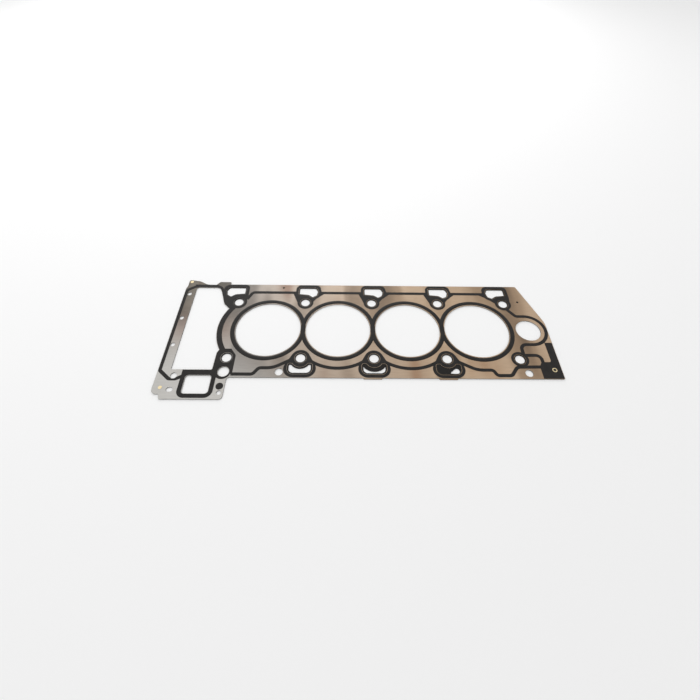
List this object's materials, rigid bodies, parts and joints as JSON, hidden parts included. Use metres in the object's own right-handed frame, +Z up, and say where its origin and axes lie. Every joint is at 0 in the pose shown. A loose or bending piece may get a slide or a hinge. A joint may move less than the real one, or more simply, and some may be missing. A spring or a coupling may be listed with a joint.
{
  "type": "cylinder head gasket",
  "caption": "Layered steel cylinder head gasket for one bank of a V engine, with raised bore beads and black printed elastomer lines.",
  "frame": {"origin": "centre of the bore next to the timing flange, on the gasket's lower face", "axes": "+X runs along the row of bores away from the timing flange, +Y points to the long straight edge with the five slots, +Z points up out of the printed face"},
  "size_m": [0.5284, 0.2008, 0.0014],
  "materials": {
    "coated_steel": "satin bronze-tinted coating",
    "carrier_steel": "bare rolled steel",
    "elastomer": "matt printed elastomer",
    "rivet_brass": "plain"
  },
  "bodies": {
    "root": {"carrier_sheet": "carrier_steel", "active_sheet": "coated_steel", "stopper_rings": "carrier_steel", "bead_seal": "elastomer", "line_seal": "elastomer", "rivets": "rivet_brass"}
  },
  "joints": []
}
